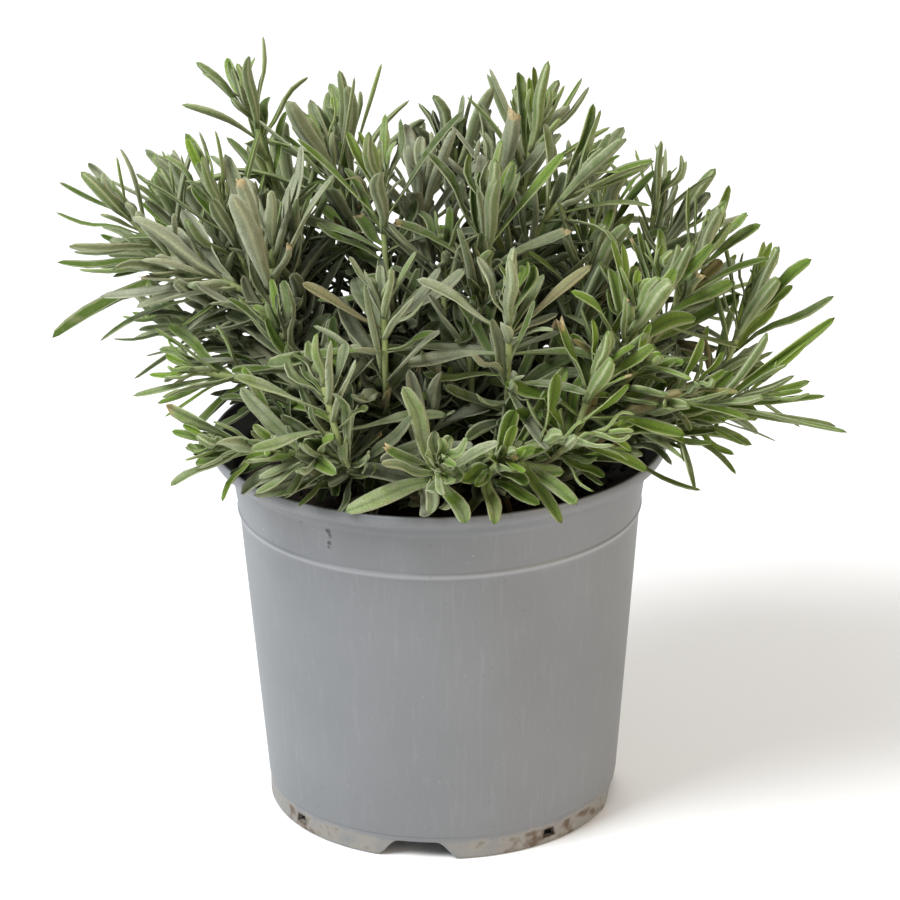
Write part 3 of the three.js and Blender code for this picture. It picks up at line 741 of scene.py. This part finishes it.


# Felted lavender leaf: deep green under a felt of silver hairs, with painted shade along the creased
# midline, pale rolled edges and a paler foot; leaves deep in the bush are darkened by painted shade, and
# torn ends and old leaves are tan.
# Blotches are about 4 mm across. The felt's grain is about 0.4 mm, coarser than real hairs so that
# it shows.
def feltedLeaf():
    material, tree, shader = newMaterial("felted leaf")
    shade = {}
    for name in ("along", "across", "under", "felt", "tint", "age", "paintedShade", "torn"):
        shade[name] = addNode(tree, "ShaderNodeAttribute", attribute_name=name).outputs["Fac"]
    place = addNode(tree, "ShaderNodeTexCoord").outputs["Object"]
    blotches = addNode(
        tree, "ShaderNodeTexNoise", {"Vector": place, "Scale": 240.0, "Detail": 4.0}
    ).outputs["Fac"]
    hairs = addNode(
        tree, "ShaderNodeTexNoise", {"Vector": place, "Scale": 2300.0, "Detail": 3.0}
    ).outputs["Fac"]
    edge = addNode(tree, "ShaderNodeMath", {0: shade["across"]}, operation="ABSOLUTE").outputs[0]
    onTop = addNode(tree, "ShaderNodeMath", {0: 1.0, 1: shade["under"]}, operation="SUBTRACT").outputs[0]
    felted = addNode(
        tree, "ShaderNodeMath", {0: blotches, 1: 1.1, 2: shade["felt"]}, operation="MULTIPLY_ADD"
    ).outputs[0]
    mottled = addNode(
        tree, "ShaderNodeMath", {0: blotches, 1: 0.9, 2: shade["age"]}, operation="MULTIPLY_ADD"
    ).outputs[0]
    layers = [
        ("#6f8b2a", shade["tint"], 0.0, 1.0, 1.0),
        ("#9ea187", felted, 0.66, 1.5, 0.88),
        ("#8fa052", shade["along"], 0.34, 0.0, 0.5),
        ("#868e6c", shade["under"], 0.3, 0.6, 0.35),
        ("#b9bd98", shade["under"], 0.8, 0.93, 0.6),
        ("#c3c59e", edge, 0.66, 1.0, 0.66),
        ("#7d7046", mottled, 0.72, 1.3, 0.85),
        ("#b7a173", shade["torn"], 0.2, 0.9, 0.9),
        # painted shade on leaves deep in the bush
        ("#121806", shade["paintedShade"], 0.0, 1.0, 0.55),
    ]
    colour = coverWith(tree, toLinear("#26340b"), layers)
    # painted shade darkens the creased midline of the upper face
    creaseShade = addNode(
        tree,
        "ShaderNodeMapRange",
        {"Value": edge, "From Min": 0.0, "From Max": 0.3, "To Min": 0.38, "To Max": 0.0},
    ).outputs[0]
    creaseShade = addNode(tree, "ShaderNodeMath", {0: creaseShade, 1: onTop}, operation="MULTIPLY").outputs[0]
    colour = addNode(
        tree, "ShaderNodeMix", {0: creaseShade, 6: colour, 7: toLinear("#1c260c")}, data_type="RGBA"
    ).outputs[2]
    brightness = addNode(
        tree,
        "ShaderNodeMapRange",
        {"Value": hairs, "From Min": 0.3, "From Max": 0.7, "To Min": 0.78, "To Max": 1.2},
    ).outputs[0]
    colour = addNode(tree, "ShaderNodeHueSaturation", {"Value": brightness, "Color": colour}).outputs[0]
    bump = addNode(
        tree, "ShaderNodeBump", {"Height": hairs, "Strength": 0.3, "Distance": 0.15 * mm}
    ).outputs[0]
    tree.links.new(colour, shader.inputs["Base Color"])
    tree.links.new(bump, shader.inputs["Normal"])
    shader.inputs["Roughness"].default_value = 0.7
    shader.inputs["Sheen Weight"].default_value = 0.12
    shader.inputs["Sheen Roughness"].default_value = 0.4
    shader.inputs["Sheen Tint"].default_value = toLinear("#dfe4cf")
    shader.inputs["Specular IOR Level"].default_value = 0.3
    return material


# Square young stem: woody brown at the root, downy grey-green under the leaves, with fibres about
# 1 mm apart and 6 mm long.
def stemBark():
    material, tree, shader = newMaterial("stem bark")
    along = addNode(tree, "ShaderNodeAttribute", attribute_name="along").outputs["Fac"]
    place = addNode(tree, "ShaderNodeTexCoord").outputs["Object"]
    stretched = addNode(
        tree, "ShaderNodeMapping", {"Vector": place, "Scale": (900.0, 900.0, 160.0)}
    ).outputs[0]
    fibres = addNode(
        tree, "ShaderNodeTexNoise", {"Vector": stretched, "Scale": 1.0, "Detail": 3.0}
    ).outputs["Fac"]
    height = addNode(
        tree, "ShaderNodeMath", {0: fibres, 1: 0.5, 2: along}, operation="MULTIPLY_ADD"
    ).outputs[0]
    ramp = addNode(tree, "ShaderNodeValToRGB", {0: height})
    ramp.color_ramp.elements[0].position = 0.25
    ramp.color_ramp.elements[0].color = toLinear("#4a3826")
    ramp.color_ramp.elements[1].position = 1.1
    ramp.color_ramp.elements[1].color = toLinear("#858f58")
    middle = ramp.color_ramp.elements.new(0.75)
    middle.color = toLinear("#5f5539")
    bump = addNode(
        tree, "ShaderNodeBump", {"Height": fibres, "Strength": 0.5, "Distance": 0.2 * mm}
    ).outputs[0]
    tree.links.new(ramp.outputs[0], shader.inputs["Base Color"])
    tree.links.new(bump, shader.inputs["Normal"])
    shader.inputs["Roughness"].default_value = 0.8
    return material


# What a user would change about the pot's marks. Angles are in degrees from +X, lengths in mm.
potMarks = {
    "specks": [  # angle, height and radius of each
        (-121, 99.8, 0.6),
        (-120.6, 98.6, 0.3),
        (-121.2, 96.2, 0.3),
        (-121.3, 94.8, 0.2),
        (-134, 101.5, 0.4),
        (-130, 100.6, 0.2),
        (-128, 91, 0.25),
        (-72, 60, 0.2),
    ],
    "speckReach": 58,  # radius of the wall about where they are
    "soilHeight": 7.4,
    "soilTurn": (-48, -150),  # the two dirtiest stretches of the foot
}


# Moulded polypropylene, mid grey: a soft satin with faint flow marks and scuffs, a painted highlight along
# the bead, dried soil on its foot and a few dark specks under the rim. Clouds are about 35 mm across, flow
# marks
# 1.5 mm apart and 17 mm long, dust and grit 1 and 5 mm, and the mould's grain 0.7 mm.
def mouldedGrey():
    material, tree, shader = newMaterial("moulded grey polypropylene")
    place = addNode(tree, "ShaderNodeTexCoord").outputs["Object"]
    clouds = addNode(
        tree, "ShaderNodeTexNoise", {"Vector": place, "Scale": 28.0, "Detail": 5.0}
    ).outputs["Fac"]
    colour = addNode(
        tree, "ShaderNodeMix", {0: clouds, 6: toLinear("#696b6c"), 7: toLinear("#7b7c7d")}, data_type="RGBA"
    ).outputs[2]
    drawn = addNode(tree, "ShaderNodeMapping", {"Vector": place, "Scale": (700.0, 700.0, 60.0)}).outputs[0]
    streaks = addNode(
        tree, "ShaderNodeTexNoise", {"Vector": drawn, "Scale": 1.0, "Detail": 4.0}
    ).outputs["Fac"]
    dust = addNode(
        tree, "ShaderNodeTexNoise", {"Vector": place, "Scale": 900.0, "Detail": 2.0}
    ).outputs["Fac"]
    parts = addNode(tree, "ShaderNodeSeparateXYZ", {0: place}).outputs
    # soil is thickest at the foot and at two stretches of it: |cos| of half the angle from each, raised
    turn = addNode(tree, "ShaderNodeMath", {0: parts[1], 1: parts[0]}, operation="ARCTAN2").outputs[0]
    near = []
    for centre in potMarks["soilTurn"]:
        back = -math.radians(centre) / 2
        half = addNode(
            tree, "ShaderNodeMath", {0: turn, 1: 0.5, 2: back}, operation="MULTIPLY_ADD"
        ).outputs[0]
        cosine = addNode(tree, "ShaderNodeMath", {0: half}, operation="COSINE").outputs[0]
        side = addNode(tree, "ShaderNodeMath", {0: cosine}, operation="ABSOLUTE").outputs[0]
        near.append(addNode(tree, "ShaderNodeMath", {0: side, 1: 14.0}, operation="POWER").outputs[0])
    nearest = addNode(tree, "ShaderNodeMath", {0: near[0], 1: near[1]}, operation="MAXIMUM").outputs[0]
    low = addNode(
        tree,
        "ShaderNodeMapRange",
        {
            "Value": parts[2],
            "From Min": potMarks["soilHeight"] * mm,
            "From Max": 5 * mm,
            "To Min": -0.4,
            "To Max": 0.2,
        },
    ).outputs[0]
    grit = addNode(
        tree, "ShaderNodeTexNoise", {"Vector": place, "Scale": 190.0, "Detail": 6.0}
    ).outputs["Fac"]
    soil = addNode(
        tree, "ShaderNodeMath", {0: nearest, 1: 0.32, 2: grit}, operation="MULTIPLY_ADD"
    ).outputs[0]
    soil = addNode(tree, "ShaderNodeMath", {0: soil, 1: low}, operation="ADD").outputs[0]
    # painted highlight along the bead under the collar: distance in height from its middle
    bead = (potShape["height"] - potShape["collarHeight"] + 0.3) * mm
    above = addNode(tree, "ShaderNodeMath", {0: parts[2], 1: bead}, operation="SUBTRACT").outputs[0]
    fromBeadHighlight = addNode(tree, "ShaderNodeMath", {0: above}, operation="ABSOLUTE").outputs[0]
    layers = [
        ("#8f9091", streaks, 0.55, 0.8, 0.22),
        # painted highlight along the bead
        ("#c2c3c4", fromBeadHighlight, 1.0 * mm, 0.2 * mm, 0.26),
        ("#9fa0a1", dust, 0.7, 0.78, 0.35),
        ("#4d4b49", dust, 0.3, 0.25, 0.35),
        ("#8b8579", soil, 0.66, 1.0, 0.75),
        ("#4f3a20", soil, 0.98, 1.12, 0.9),
    ]
    reach = potMarks["speckReach"] * mm
    for degrees, height, radius in potMarks["specks"]:
        angle = math.radians(degrees)
        spot = [reach * math.cos(angle), reach * math.sin(angle), height * mm]
        away = addNode(
            tree, "ShaderNodeVectorMath", {0: place, 1: spot}, operation="DISTANCE"
        ).outputs["Value"]
        wobbled = addNode(
            tree, "ShaderNodeMath", {0: dust, 1: 1.6 * mm, 2: away}, operation="MULTIPLY_ADD"
        ).outputs[0]
        layers.append(("#1f1c19", wobbled, (radius + 1.4) * mm, (radius + 0.75) * mm, 0.85))
    colour = coverWith(tree, colour, layers)
    grain = addNode(
        tree, "ShaderNodeTexNoise", {"Vector": place, "Scale": 1500.0, "Detail": 2.0}
    ).outputs["Fac"]
    bump = addNode(
        tree, "ShaderNodeBump", {"Height": grain, "Strength": 0.08, "Distance": 0.05 * mm}
    ).outputs[0]
    tree.links.new(colour, shader.inputs["Base Color"])
    tree.links.new(bump, shader.inputs["Normal"])
    shader.inputs["Roughness"].default_value = 0.46
    return material


# The pot's inside: charcoal, darker than the outside, dusted with peat in patches of 7 mm.
def mouldedCharcoal():
    material, tree, shader = newMaterial("moulded charcoal polypropylene")
    place = addNode(tree, "ShaderNodeTexCoord").outputs["Object"]
    dust = addNode(
        tree, "ShaderNodeTexNoise", {"Vector": place, "Scale": 140.0, "Detail": 5.0}
    ).outputs["Fac"]
    base = addNode(
        tree, "ShaderNodeMix", {0: dust, 6: toLinear("#2b2b2b"), 7: toLinear("#4a463d")}, data_type="RGBA"
    ).outputs[2]
    tree.links.new(base, shader.inputs["Base Color"])
    shader.inputs["Roughness"].default_value = 0.55
    return material


# Damp peat with bark fines: nearly black and matt, with brown crumbs about 2.5 mm across.
def dampPeat():
    material, tree, shader = newMaterial("damp peat")
    place = addNode(tree, "ShaderNodeTexCoord").outputs["Object"]
    crumbs = addNode(
        tree, "ShaderNodeTexNoise", {"Vector": place, "Scale": 420.0, "Detail": 5.0}
    ).outputs["Fac"]
    ramp = addNode(tree, "ShaderNodeValToRGB", {0: crumbs})
    ramp.color_ramp.elements[0].position = 0.35
    ramp.color_ramp.elements[0].color = toLinear("#0f0c09")
    ramp.color_ramp.elements[1].position = 0.75
    ramp.color_ramp.elements[1].color = toLinear("#3a2c1f")
    bump = addNode(
        tree, "ShaderNodeBump", {"Height": crumbs, "Strength": 0.8, "Distance": 0.8 * mm}
    ).outputs[0]
    tree.links.new(ramp.outputs[0], shader.inputs["Base Color"])
    tree.links.new(bump, shader.inputs["Normal"])
    shader.inputs["Roughness"].default_value = 0.95
    return material


# Small drain holes through the foot, midway between the notches: a tapered block is cut out of the
# wall for each.
def cutDrains(piece):
    p = potShape
    width, height = p["drainSize"]
    points, faces = [], []
    for i in range(4):
        turn = math.radians(p["notchTurn"] + 45 + 90 * i)
        out = np.array([math.cos(turn), math.sin(turn), 0])
        side = np.array([-math.sin(turn), math.cos(turn), 0])
        for reach in (p["foot"] - 8, p["foot"] + 4):
            for a, z in ((-1, 0), (1, 0), (0.72, 1), (-0.72, 1)):
                points.append(out * reach + side * a * width / 2 + [0, 0, p["drainLevel"] + z * height])
        faces += tubeFaces(2, 4, 8 * i, tip=False)
    block = makePiece("drain_cutter", np.array(points) * mm, faces, [], smooth=False)
    cutter = piece.modifiers.new("drains", "BOOLEAN")
    cutter.object, cutter.operation, cutter.solver = block, "DIFFERENCE", "EXACT"
    bpy.context.view_layer.update()
    whole = piece.evaluated_get(bpy.context.evaluated_depsgraph_get())
    mesh = bpy.data.meshes.new_from_object(whole)
    piece.modifiers.clear()
    piece.data = mesh
    bpy.data.objects.remove(block)


pot = makePot(mouldedGrey(), mouldedCharcoal())
cutDrains(pot)
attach(pot, "root")
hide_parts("pot")
print("pot made")

# What a user would change about the mix.
peat = {
    "turns": 160,  # corners round it
    "rings": 40,
    "fall": 2.5,  # mm from the middle of its top to the edge
    "waves": 26,
    "lump": 0.7,  # mm
    "crumbs": 700,
}


# The lift of the mix's top: the sum of waves in seeded directions, 4 to 14 mm long.
def lumps(x, y, rng, amount):
    height = np.zeros_like(x)
    for _ in range(peat["waves"]):
        turn, length = rng.uniform(0, 2 * math.pi), rng.uniform(4, 14) * mm
        phase = rng.uniform(0, 2 * math.pi)
        height += np.sin((x * math.cos(turn) + y * math.sin(turn)) / length * 2 * math.pi + phase)
    return height / math.sqrt(peat["waves"]) * amount


# the triangles between neighbouring corners of an icosahedron, wound outwards
def hullFaces(corners):
    gap = np.linalg.norm(corners[:, None] - corners[None], axis=-1)
    near = (gap > 0) & (gap < 1.1)
    faces = []
    for a in range(12):
        for b in range(a + 1, 12):
            for c in range(b + 1, 12):
                if near[a, b] and near[b, c] and near[a, c]:
                    out = np.cross(corners[b] - corners[a], corners[c] - corners[a]) @ corners[a] > 0
                    faces.append([a, b, c] if out else [a, c, b])
    return faces


# The mix: a dome, z = top - fall r^2, with lumps, on a side that follows the pot's inside.
def makeMix(material):
    rng = np.random.default_rng(5)
    angle = np.arange(peat["turns"]) / peat["turns"] * 2 * math.pi
    share = np.linspace(1, 0, peat["rings"], endpoint=False)
    radius = mouthRadius * share[:, None]
    x, y = radius * np.cos(angle), radius * np.sin(angle)
    dome = mixHigh.z - peat["fall"] * mm * share[:, None] ** 2 - 0.2 * mm
    top = dome + lumps(x, y, rng, peat["lump"] * mm) * np.minimum(1, 6 * (1 - share[:, None]) + 0.2)
    side = [(52.5 * mm, potHigh.z - 24 * mm), (48.5 * mm, mixLow.z)]
    rows = []
    for r, z in side[::-1]:
        rows.append(np.stack([r * np.cos(angle), r * np.sin(angle), np.full_like(angle, z)], -1))
    grid = np.concatenate([np.array(rows), np.stack([x, y, top], -1)])
    points = np.concatenate([grid.reshape(-1, 3), [[0, 0, mixHigh.z - 0.2 * mm]]])
    faces = tubeFaces(len(grid), peat["turns"], 0)
    # crumbs and bark fines: uneven twenty-sided lumps, half sunk in the top
    many = peat["crumbs"]
    turn = rng.uniform(0, 2 * math.pi, many)
    reach = np.sqrt(rng.uniform(0, 1, many)) * (mouthRadius - 2.4 * mm)
    centre = np.stack([reach * np.cos(turn), reach * np.sin(turn)], -1)
    level = mixHigh.z - peat["fall"] * mm * (reach / mouthRadius) ** 2 - 0.1 * mm
    size = rng.uniform(0.5, 1.5, (many, 1, 3))
    size = size * rng.choice([1, 1, 1.6], (many, 1, 1)) * mm * 0.75
    golden = (1 + math.sqrt(5)) / 2
    ico = [(0, a, b * golden) for a in (-1, 1) for b in (-1, 1)]
    ico = unit(np.array([np.roll(corner, k) for k in range(3) for corner in ico]))
    hull = np.array(hullFaces(ico))
    lumpCorners = ico * rng.uniform(0.7, 1.1, (many, 12, 1)) * size
    lumpCorners = lumpCorners + np.concatenate([centre, level[:, None]], 1)[:, None]
    offset = len(points) + 12 * np.arange(many)[:, None, None]
    faces += (hull + offset).reshape(-1, 3).tolist()
    points = np.concatenate([points, lumpCorners.reshape(-1, 3)])
    return makePiece("peat_mix", points, faces, [material])


mixPiece = makeMix(dampPeat())
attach(mixPiece, "root")
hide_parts("potting_mix")
print("potting mix made")

leafMaterial, stemMaterial = feltedLeaf(), stemBark()
leafCount = sum(makeShoot(name, leafMaterial, stemMaterial, i) for i, name in enumerate(shootNames))
print("foliage made:", leafCount, "leaves")


# Matt painted board, nearly white.
def paleFloor():
    material, tree, shader = newMaterial("pale floor")
    shader.inputs["Base Color"].default_value = toLinear("#f2f2f0")
    shader.inputs["Roughness"].default_value = 0.9
    return material


# A pale floor, soft light from a large box at upper left, and fainter ones right and behind.
def makeStage():
    reach = 4
    corners = [(-reach, -reach, 0), (reach, -reach, 0), (reach, reach, 0), (-reach, reach, 0)]
    floor = makePiece("floor", corners, [[0, 1, 2, 3]], [paleFloor()], smooth=False)
    lamps = [
        ("key", (-0.85, -0.6, 1.25), 0.7, 34, "#f4f8ff"),  # place, width in metres, watts
        ("fill", (1.2, -0.8, 0.7), 1.0, 12, "#ffe9d2"),
        ("back", (0.2, 1.2, 1.1), 1.0, 10, "#ffffff"),
    ]
    for name, place, size, power, hexColour in lamps:
        light = bpy.data.lights.new(name, "AREA")
        light.size = size
        light.energy = power
        light.color = toLinear(hexColour)[:3]
        lamp = bpy.data.objects.new(name, light)
        turn = (Vector((0, 0, 0.11)) - Vector(place)).to_track_quat("-Z", "Y")
        lamp.matrix_world = Matrix.Translation(place) @ turn.to_matrix().to_4x4()
        bpy.context.scene.collection.objects.link(lamp)
    world = bpy.data.worlds.new("studio")
    world.use_nodes = True
    background = world.node_tree.nodes["Background"]
    background.inputs["Color"].default_value = toLinear("#f4f7fa")
    background.inputs["Strength"].default_value = 0.42
    bpy.context.scene.world = world
    bpy.context.scene.view_settings.view_transform = "Standard"


makeStage()
print("stage set")
